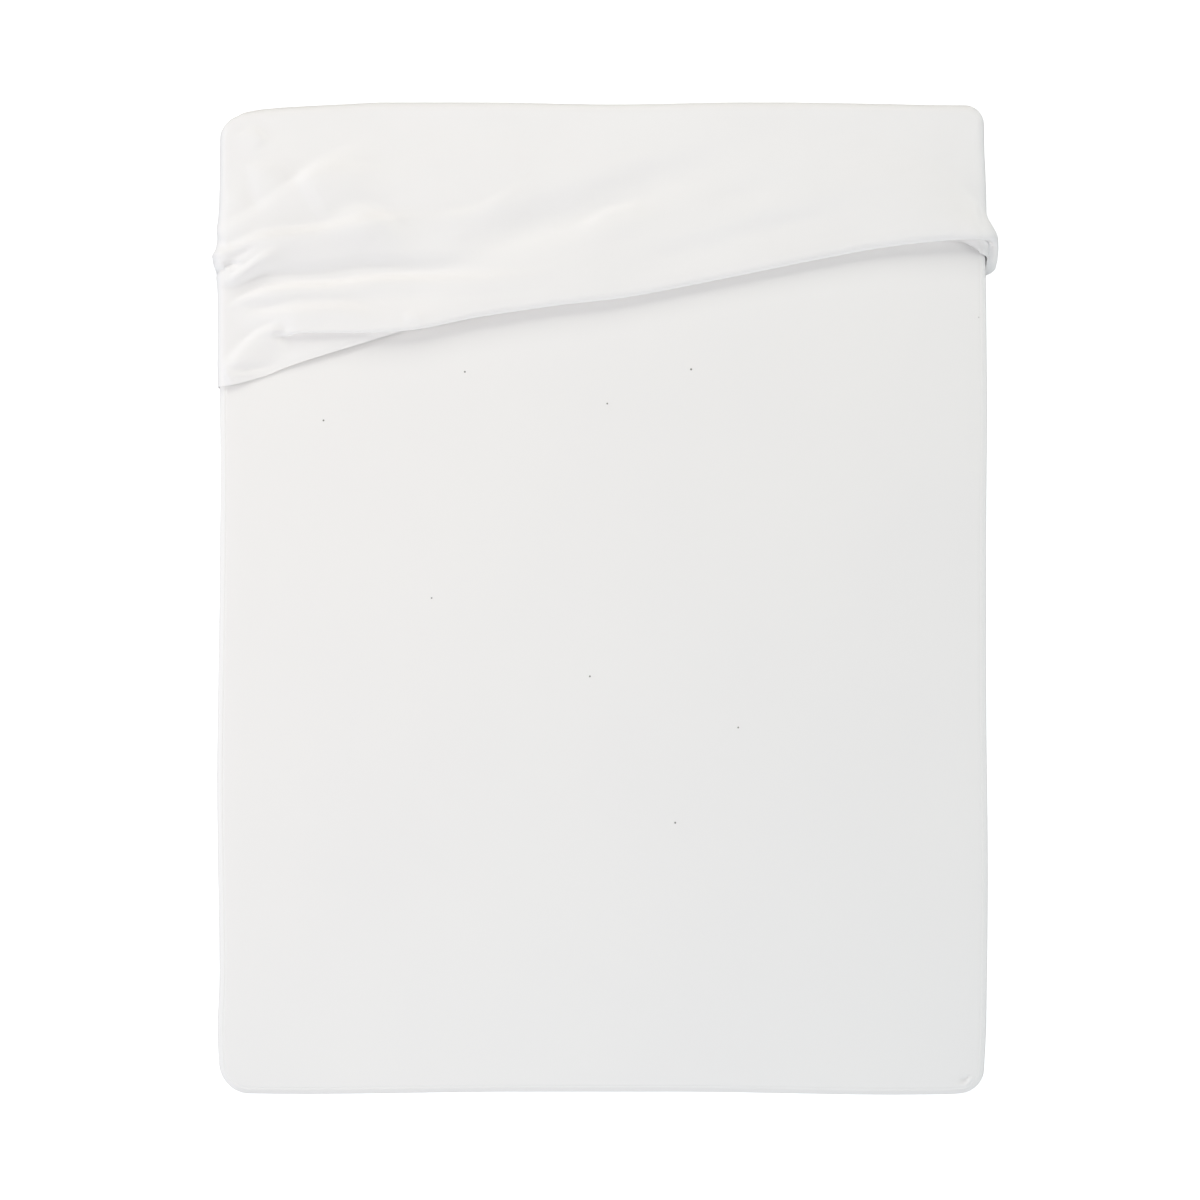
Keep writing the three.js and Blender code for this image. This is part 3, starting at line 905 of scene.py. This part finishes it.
    def _grid(self) -> tuple[Array, Array]:
        """Places the grid's points, a row for each station from the head wall to the open edge.

        Returns:
            The points in millimetres, and the cloth's own coordinates in metres.
        """
        size, col = self.skin.size, self.columns
        around = col["around"]
        head_offset = self._lay_height(around, np.full_like(around, size.length / 2))
        stations = [(1.0, inset) for inset in (0.0, *EDGE_PARTS)]
        stations += [(part, 1.0) for part in EDGE_PARTS[-2::-1]]
        arc = size.edge_radius * math.radians(90) / (len(stations) - 1)
        flats = [points_at(col["x"], size.flat_y, col["z"])] * len(stations)
        parts = [points_at(col["x_part"] * inset, y_part, col["z_part"] * inset)
                 for y_part, inset in stations]
        walked = [np.full_like(around, k * arc) for k in range(len(stations))]
        y, height, length = self._sections(around)
        flats += [points_at(col["x"], row, col["z"]) for row in y]
        parts += [points_at(col["x_part"], 0.0, col["z_part"])] * len(y)
        offsets = [head_offset] * len(stations) + list(height)
        walked += [len(stations) * arc + row for row in length]
        points = self.skin.place(np.array(flats), np.array(parts), np.array(offsets), around[None, :])
        uv = np.stack([np.broadcast_to(around, points.shape[:2]), np.array(walked)], axis=-1) * MM
        return points, uv

    def _sections(self, around: Array) -> tuple[Array, Array, Array]:
        """Walks down each column's section, from the head to the open edge.

        Args:
            around: the columns' distances around.

        Returns:
            Y, height off the mattress and length walked, a row for each place.
        """
        read = {name: self.open_end.at(name, around) for name in self.open_end.columns}
        fold_y, drop = self._walk_fold(np.radians(read["turn"]), read["bend"], read["tuck"])
        crest = read["nose"] - fold_y[: sum(self.fold_steps[:2])].min(axis=0)
        lying = self.thickness / 2 + self._lying_gap(around)
        top = lying + read["lift"] - drop[-1]
        body_y, body, last_relief = self._body(around, crest, top, read["rise"])
        folded = smoothstep(read["turn"], *self.folded_turn)
        fold_y = crest + fold_y
        own_relief = self._relief(np.broadcast_to(around, fold_y.shape), fold_y)
        share = np.arange(1, len(fold_y) + 1)[:, None] / self.fold_steps[0]
        fold_relief = lerp(own_relief, last_relief * (1.0 - smoothstep(share, 0.0, 1.0)), folded)
        bent = np.maximum(top + drop + fold_relief, lying)
        hem_y, hem = self._hem(around, read, fold_y[-1], folded)
        y = np.vstack([body_y, fold_y, hem_y])
        height = np.vstack([body, bent, lying + read["lift"] + hem])
        steps = np.hypot(np.diff(y, axis=0), np.diff(height, axis=0))
        length = np.vstack([np.zeros_like(around)[None, :], np.cumsum(steps, axis=0)])
        return y, height, length

    def _body(self, around: Array, crest: Array, top: Array, rise: Array) -> tuple[Array, Array, Array]:
        """Walks from the head to the fold's crest.

        Args:
            around: the columns' distances around.
            crest: the crest's Y.
            top: the crest's height.
            rise: the length over which the cloth climbs to it.

        Returns:
            Y and height, a row for each place, and the folds' height at the crest.
        """
        start = self.skin.size.flat_y
        left = 1.0 - np.arange(self.body_steps + 1)[:, None] / self.body_steps
        y = crest + (start - crest) * left**self.body_ease
        wide = np.broadcast_to(around, y.shape)
        least = self._least_height(wide, y)
        rising = smoothstep((crest - y) / rise, -1.0, 0.0)
        relief = self._relief(wide, y)
        return y, np.maximum(lerp(least + self._slack(wide, y), top, rising) + relief, least), relief[-1]

    def _hem(
        self, around: Array, read: dict[str, Array], start: Array, folded: Array
    ) -> tuple[Array, Array]:
        """Walks from the fold's bend back to the open edge.

        Args:
            around: the columns' distances around.
            read: the open end's columns, read there.
            start: the Y that the hem starts from.
            folded: 1 where the cloth is folded, so that its folds don't show behind the fold's front.

        Returns:
            Y and height above the lifted hem, a row for each place.
        """
        rim, lift = read["rim"], read["lift"]
        steps = self.fold_steps[3]
        to_rim = np.arange(steps - 1, -1, -1)[:, None] / steps
        y = lerp(rim, start, to_rim**self.hem_ease)
        seen = lerp(1.0, smoothstep(read["nose"] - y, 0.0, self.hidden_reach), folded)
        relief = np.maximum(self._relief(np.broadcast_to(around, y.shape), y), -lift) * seen
        return y, self._rim_shape(np.abs(y - rim), lift) + relief

    def _rim_shape(self, from_rim: Array, lift: Array) -> Array:
        """Returns how the cloth curls down towards its open edge, and up again at its very rim."""
        lip = self.lip_rise * np.minimum(lift / self.full_lip_lift, 1.0) * falling(from_rim, self.lip_reach)
        return lip - self.curl_share * lift * falling(from_rim, self.curl_reach)

    def _walk_fold(self, turn: Array, bend: Array, tuck: Array) -> Array:
        """Walks round the front of the fold, along the layer behind it, and round its bend back.

        Args:
            turn: how far the cloth turns, in radians, for each column.
            bend: the length of cloth in the front.
            tuck: the length of cloth in the layer behind.

        Returns:
            Y and height from the fold's crest, each with a row for each place.
        """
        bends, tucks, backs, _ = self.fold_steps
        shares = np.arange(bends + 1) / bends
        leans = self.bend_start * shares + (1.0 - self.bend_start) * shares**2
        none = 0.0 * turn
        moves = [(bend / bends, turn * part) for part in np.diff(leans)] + [(tuck / tucks, none)] * tucks
        moves += [(self.back_bend / backs + none, -turn / backs)] * backs
        y, height, lean = none, none, none
        places = []
        for length, angle in moves:
            y = y - length * np.cos(lean + angle / 2)
            height = height - length * np.sin(lean + angle / 2)
            lean = lean + angle
            places.append((y, height))
        return np.array(places).swapaxes(0, 1)

    def _mesh(self, points: Array, uv: Array) -> bpy.types.Object:
        """Joins the grid and the flat of the head wall into one mesh.

        Args:
            points: the grid's points, in millimetres.
            uv: the cloth's own coordinates at them, in metres.

        Returns:
            The new object, with a UV map named cloth.
        """
        rows, count = points.shape[:2]
        index = np.arange(rows * count).reshape(rows, count)
        following = np.roll(index, -1, axis=1)
        faces = np.stack([index[:-1], index[1:], following[1:], following[:-1]], axis=-1).reshape(-1, 4)
        wall_points, wall_uv, wall_faces = self._head_wall(rows * count)
        vertices = np.vstack([points.reshape(-1, 3), wall_points])
        mesh = bpy.data.meshes.new("encasement_cloth")
        mesh.from_pydata((vertices * MM).tolist(), [], faces.tolist() + wall_faces)
        self._lay_uv(mesh, np.vstack([uv.reshape(-1, 2), wall_uv]))
        piece = bpy.data.objects.new("encasement_cloth", mesh)
        bpy.context.collection.objects.link(piece)
        work = bmesh.new()
        work.from_mesh(mesh)
        bmesh.ops.remove_doubles(work, verts=work.verts, dist=self.merge * MM)
        bmesh.ops.dissolve_degenerate(work, edges=work.edges, dist=self.least_edge * MM)
        bmesh.ops.recalc_face_normals(work, faces=work.faces)
        work.to_mesh(mesh)
        work.free()
        return piece

    def _lay_uv(self, mesh: bpy.types.Mesh, uv: Array) -> None:
        """Gives the mesh the cloth's own coordinates, unbroken where the way around closes.

        Args:
            mesh: the mesh.
            uv: the coordinates of its vertices.
        """
        corners = np.zeros(len(mesh.loops), dtype=np.int64)
        mesh.loops.foreach_get("vertex_index", corners)
        chosen = uv[corners]
        girth = self.skin.size.girth * MM
        starts = np.array([polygon.loop_start for polygon in mesh.polygons])
        owner = np.repeat(np.arange(len(starts)), np.diff(np.append(starts, len(corners))))
        widest = np.maximum.reduceat(chosen[:, 0], starts)[owner]
        chosen[:, 0] += np.where(widest - chosen[:, 0] > girth / 2, girth, 0.0)
        mesh.uv_layers.new(name="cloth").data.foreach_set("uv", chosen.astype(np.float32).ravel())

    def _head_wall(self, first: int) -> tuple[Array, Array, list[list[int]]]:
        """Makes the flat of the head wall: rows down from the top, and a last row laced to the underside.

        Args:
            first: the number of the first new vertex.

        Returns:
            The points in millimetres, their cloth coordinates in metres, and the faces.
        """
        size, high = self.skin.size, self.skin.size.flat_high
        x, z = np.meshgrid(self.columns["top"], self.columns["heights"][:-1])
        points = self._head_points(x, z, size.low_edge - z, self._head_swell(x, z))
        beneath = np.linspace(-size.flat_x, size.flat_x, self.under_columns + 1)
        low_z = np.full_like(beneath, size.edge_radius)
        low = self._head_points(beneath, low_z, size.low_edge + low_z, 0.0)
        uv = np.vstack([np.stack([x.ravel(), z.ravel()], -1), np.stack([beneath, low_z], -1)]) - (0.0, high)
        index = first + np.arange(x.size).reshape(x.shape)
        faces = np.stack([index[:-1, :-1], index[:-1, 1:], index[1:, 1:], index[1:, :-1]], -1)
        faces = faces.reshape(-1, 4).tolist()
        marks = np.round(np.linspace(0, x.shape[1] - 1, self.under_columns + 1)).astype(int)
        for k in range(self.under_columns):
            upper = index[-1][marks[k] : marks[k + 1] + 1].tolist()
            faces.append([*upper, first + x.size + k + 1, first + x.size + k])
        return np.vstack([points.reshape(-1, 3), low]), uv * MM, faces

    def _head_points(self, x: Array, z: Array, around: Array, swell: Value) -> Array:
        """Places points on the flat of the head wall.

        Args:
            x: the points' X before the mattress's own shape is laid on.
            z: their heights.
            around: their distances around.
            swell: how much further they stand off the wall.

        Returns:
            The points, in millimetres.
        """
        offset = self._lay_height(around, np.full_like(x, self.skin.size.length / 2)) + swell
        outward = points_at(np.zeros_like(x), 1.0, 0.0)
        return self.skin.place(points_at(x, self.skin.size.flat_y, z), outward, offset, around)

    def _head_swell(self, x: Array, z: Array) -> Array:
        """Works out how far the head wall's cloth swells, away from the wall's own edges.

        Args:
            x: the points' X.
            z: their heights.

        Returns:
            The swell, in millimetres.
        """
        size = self.skin.size
        from_side = smoothstep(size.flat_x - np.abs(x), 0.0, self.swell_side)
        from_top = smoothstep(size.flat_high - z, 0.0, self.swell_top)
        from_low = smoothstep(z - size.edge_radius, *self.swell_low)
        uneven = drift(np.stack([x.ravel() / self.swell_stretch, z.ravel()], -1), *self.swell_noise)
        inward = np.minimum(np.minimum(from_side, from_top), from_low)
        return inward * (self.swell_mean + self.swell_change * uneven.reshape(x.shape))


@dataclass
class Mattress:
    """The mattress: one padded block with rounded edges, and a sewn seam just inside its edges."""

    skin: Skin
    finish: TickingFinish
    seam_inset: float = 13.0
    seam_half: float = 1.6
    seam_depth: float = 0.9
    crown: float = 1.4
    crown_reach: float = 45.0
    # The bare top starts this far short of the rim, which is read no further out than rim_within.
    bare_from: float = 20.0
    rim_within: float = 700.0
    # Cuts: beside the seam in its half widths, near each edge, and then this far apart.
    seam_cuts: tuple[float, ...] = (-1.0, 1.0, 2.5)
    edge_cuts: tuple[float, ...] = (20, 24, 28, 32, 36, 40, 45, 50, 56, 62)
    cut_step: float = 32.0
    wall_cuts: int = 9
    dents: tuple[Fold, ...] = CORNER_DENTS

    def build(self) -> bpy.types.Object:
        """Makes the block, cuts it into a lattice, rounds it and dresses it.

        Returns:
            The finished piece.
        """
        size = self.skin.size
        bpy.ops.object.select_all(action="DESELECT")
        bpy.ops.mesh.primitive_cube_add(size=1.0, location=(0, 0, size.height / 2 * MM))
        piece = bpy.context.active_object
        piece.name = "mattress_block"
        piece.data.name = piece.name
        piece.scale = (size.width * MM, size.length * MM, size.height * MM)
        bpy.ops.object.transform_apply(location=True, rotation=False, scale=True)
        bpy.ops.object.mode_set(mode="EDIT")
        for axis, places in enumerate(self._cuts()):
            normal = tuple(1.0 if k == axis else 0.0 for k in range(3))
            for place in places:
                bpy.ops.mesh.select_all(action="SELECT")
                bpy.ops.mesh.bisect(plane_co=tuple(place * MM * n for n in normal), plane_no=normal)
        bpy.ops.object.mode_set(mode="OBJECT")
        self._round(piece)
        bpy.ops.object.shade_smooth()
        piece.data.materials.append(self.finish.material())
        return piece

    def _cuts(self) -> tuple[list[float], list[float], list[float]]:
        """Works out where the block is cut.

        Returns:
            The places across, along and up, in millimetres.
        """
        size = self.skin.size
        from_edge = [size.edge_radius * (1.0 - part) for part in (0.0, *EDGE_PARTS[:-1])]
        seam = [self.seam_inset + k * self.seam_half for k in self.seam_cuts]
        close = sorted({round(v, 2) for v in [*from_edge, *seam, *self.edge_cuts]})
        up = from_edge + [size.height - v for v in from_edge]
        up += list(np.linspace(size.edge_radius, size.flat_high, self.wall_cuts)[1:-1])
        return self._spread(size.width / 2, close), self._spread(size.length / 2, close), sorted(up)

    def _spread(self, half: float, close: list[float]) -> list[float]:
        """Lays cuts close together near both ends and evenly spread between.

        Args:
            half: half the block's size that way.
            close: the cuts near an end, as distances from it.

        Returns:
            The places, in order.
        """
        inner = half - max(close)
        count = round(2 * inner / self.cut_step)
        ends = [half - v for v in close]
        between = list(np.linspace(-inner, inner, count + 1)[1:-1])
        return sorted([-v for v in ends] + between + ends)

    def _round(self, piece: bpy.types.Object) -> None:
        """Moves the lattice's points to the rounded block, with its crown, seam and dents.

        Args:
            piece: the cut block.
        """
        size = self.skin.size
        mesh = piece.data
        box = np.zeros(len(mesh.vertices) * 3)
        mesh.vertices.foreach_get("co", box)
        box = box.reshape(-1, 3) / MM
        low = np.array([-size.flat_x, -size.flat_y, size.edge_radius])
        flat = np.clip(box, low, np.array([size.flat_x, size.flat_y, size.flat_high]))
        part = (box - flat) / size.edge_radius
        points = self.skin.place(flat, part, np.zeros(len(box)), self._around(box, part))
        points[:, 2] += self._relief(*box.T)
        mesh.vertices.foreach_set("co", (points * MM).ravel())
        mesh.update()

    def _around(self, box: Array, part: Array) -> Array:
        """Works out the distances around of the lattice's points.

        Args:
            box: the points of the square block.
            part: their parts of its rounded border.

        Returns:
            The distances.
        """
        size = self.skin.size
        side = np.where(box[:, 0] < 0, -1.0, 1.0)
        beneath = box[:, 2] < size.height / 2
        level = np.where(beneath, side * (size.under_middle - np.abs(box[:, 0])), box[:, 0])
        on_wall = np.abs(part[:, 0]) > 0.999
        return np.where(on_wall, side * (size.low_edge - box[:, 2]), level)

    def _relief(self, x: Array, y: Array, z: Array) -> Array:
        """Works out the crown and the seam on the bare top, and the dents of its corner.

        Args:
            x: the X of the square block's points.
            y: their Y.
            z: their heights.

        Returns:
            How far each point rises, in millimetres.
        """
        size = self.skin.size
        from_side = np.minimum(size.width / 2 - np.abs(x), size.length / 2 - np.abs(y))
        rim = self.skin.open_end.at("rim", np.clip(x, -self.rim_within, self.rim_within))
        bare = (z > size.height - 0.01) & (y < rim - self.bare_from)
        seam = np.clip(1.0 - np.abs(from_side - self.seam_inset) / self.seam_half, 0.0, 1.0)
        drop = self.seam_depth * seam + self.crown * (1.0 - smoothstep(from_side, 0.0, self.crown_reach))
        dents = sum(fold_height(dent, x, y) for dent in self.dents)
        return np.where(z > size.flat_high, dents, 0.0) - np.where(bare, drop, 0.0)


@dataclass(frozen=True)
class SoftLight:
    """A square light that faces the mattress.

    turn is the compass way to it in degrees, from the head towards the left. rise is its height in
    degrees above the floor, away its distance and side its size in metres, power is in watts and colour
    is its sRGB tint.
    """

    name: str
    turn: float
    rise: float
    away: float
    side: float
    power: float
    colour: str


@dataclass
class Studio:
    """A plain white floor, soft light all round and the camera, with its sizes in metres."""

    view_width: float = 2.424
    lens_mm: float = 100.0
    sensor_mm: float = 36.0
    centre: tuple[float, float] = (-0.0056, -0.0050)
    level: float = 0.236
    aim: float = 0.25
    sky: float = 0.237
    sky_colour: str = "#f9fbfe"
    floor_side: float = 60.0
    floor_colour: str = "#f4f4f4"
    floor_glow: float = 0.5
    lights: tuple[SoftLight, ...] = (
        SoftLight("head_light", 0, 28, 4.7, 2.2, 101, "#fffff9"),
        SoftLight("near_left_light", 90, 60, 3.2, 1.6, 19, "#ffebde"),
        SoftLight("high_foot_light", 180, 55, 4.7, 2.2, 53, "#e4f6fd"),
        SoftLight("high_light", 0, 90, 4.7, 2.6, 20, "#fbf9ff"),
        SoftLight("low_left_light", 90, 12, 4.7, 1.6, 93, "#eff6fd"),
        SoftLight("low_foot_light", 180, 12, 4.7, 1.6, 56, "#fdf9fb"),
        SoftLight("low_right_light", 270, 12, 4.7, 1.6, 71, "#faffff"),
    )

    def build(self) -> None:
        """Makes the floor, the lights and the camera."""
        self._floor()
        self._world()
        for light in self.lights:
            self._hang(light)
        self._camera()
        bpy.context.scene.view_settings.view_transform = "Standard"

    def _floor(self) -> None:
        """Lays the floor, which shines a little so that it stays white beneath the mattress's shadow."""
        bpy.ops.object.select_all(action="DESELECT")
        bpy.ops.mesh.primitive_plane_add(size=self.floor_side, location=(0, 0, 0))
        floor = bpy.context.active_object
        floor.name = "floor"
        made = bpy.data.materials.new("white_paper_floor")
        made.use_nodes = True
        inputs = made.node_tree.nodes["Principled BSDF"].inputs
        inputs["Base Color"].default_value = to_linear(self.floor_colour)
        inputs["Roughness"].default_value = 1.0
        inputs["Emission Color"].default_value = (1.0, 1.0, 1.0, 1.0)
        inputs["Emission Strength"].default_value = self.floor_glow
        floor.data.materials.append(made)
        floor.visible_diffuse = False

    def _world(self) -> None:
        """Surrounds the scene with even white light."""
        world = bpy.data.worlds.new("studio")
        world.use_nodes = True
        inputs = world.node_tree.nodes["Background"].inputs
        inputs["Color"].default_value = to_linear(self.sky_colour)
        inputs["Strength"].default_value = self.sky
        bpy.context.scene.world = world

    def _hang(self, light: SoftLight) -> None:
        """Hangs one light at its distance from the middle of the mattress's top, facing it.

        Args:
            light: the light's place and power.
        """
        turn, rise = math.radians(light.turn), math.radians(light.rise)
        way = Vector((-math.sin(turn) * math.cos(rise), math.cos(turn) * math.cos(rise), math.sin(rise)))
        data = bpy.data.lights.new(light.name, "AREA")
        data.size = light.side
        data.energy = light.power
        data.color = to_linear(light.colour)[:3]
        hung = bpy.data.objects.new(light.name, data)
        hung.location = Vector((0.0, 0.0, self.aim)) + way * light.away
        hung.rotation_euler = way.to_track_quat("Z", "Y").to_euler()
        hung.visible_camera = False
        bpy.context.collection.objects.link(hung)

    def _camera(self) -> None:
        """Hangs the camera straight above, with the head of the mattress up in its view."""
        data = bpy.data.cameras.new("camera")
        data.lens = self.lens_mm
        data.sensor_width = self.sensor_mm
        camera = bpy.data.objects.new("camera", data)
        away = self.view_width * self.lens_mm / self.sensor_mm
        camera.location = (*self.centre, self.level + away)
        bpy.context.collection.objects.link(camera)
        bpy.context.scene.camera = camera


def dress(piece: bpy.types.Object, node: str) -> None:
    """Hangs a piece under the root, hides the node that it stands for, and logs it.

    Args:
        piece: the finished piece.
        node: the CAD node that it replaces.
    """
    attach(piece, "root")
    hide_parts(node)
    LOG.info("%s: %d faces, replaces %s", piece.name, len(piece.data.polygons), node)


def main() -> None:
    """Builds the mattress, the encasement and the studio, in that order."""
    logging.basicConfig(level=logging.INFO, format="%(name)s: %(message)s")
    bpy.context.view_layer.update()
    size = BlockSize()
    open_end = OpenEnd(OPEN_END)
    skin = Skin(size, open_end)
    block = Mattress(skin, TickingFinish()).build()
    dress(block, "mattress")
    cloth = Encasement(skin, open_end, KnitFinish()).build()
    dress(cloth, "encasement")
    Studio().build()


if __name__ == "__main__":
    main()
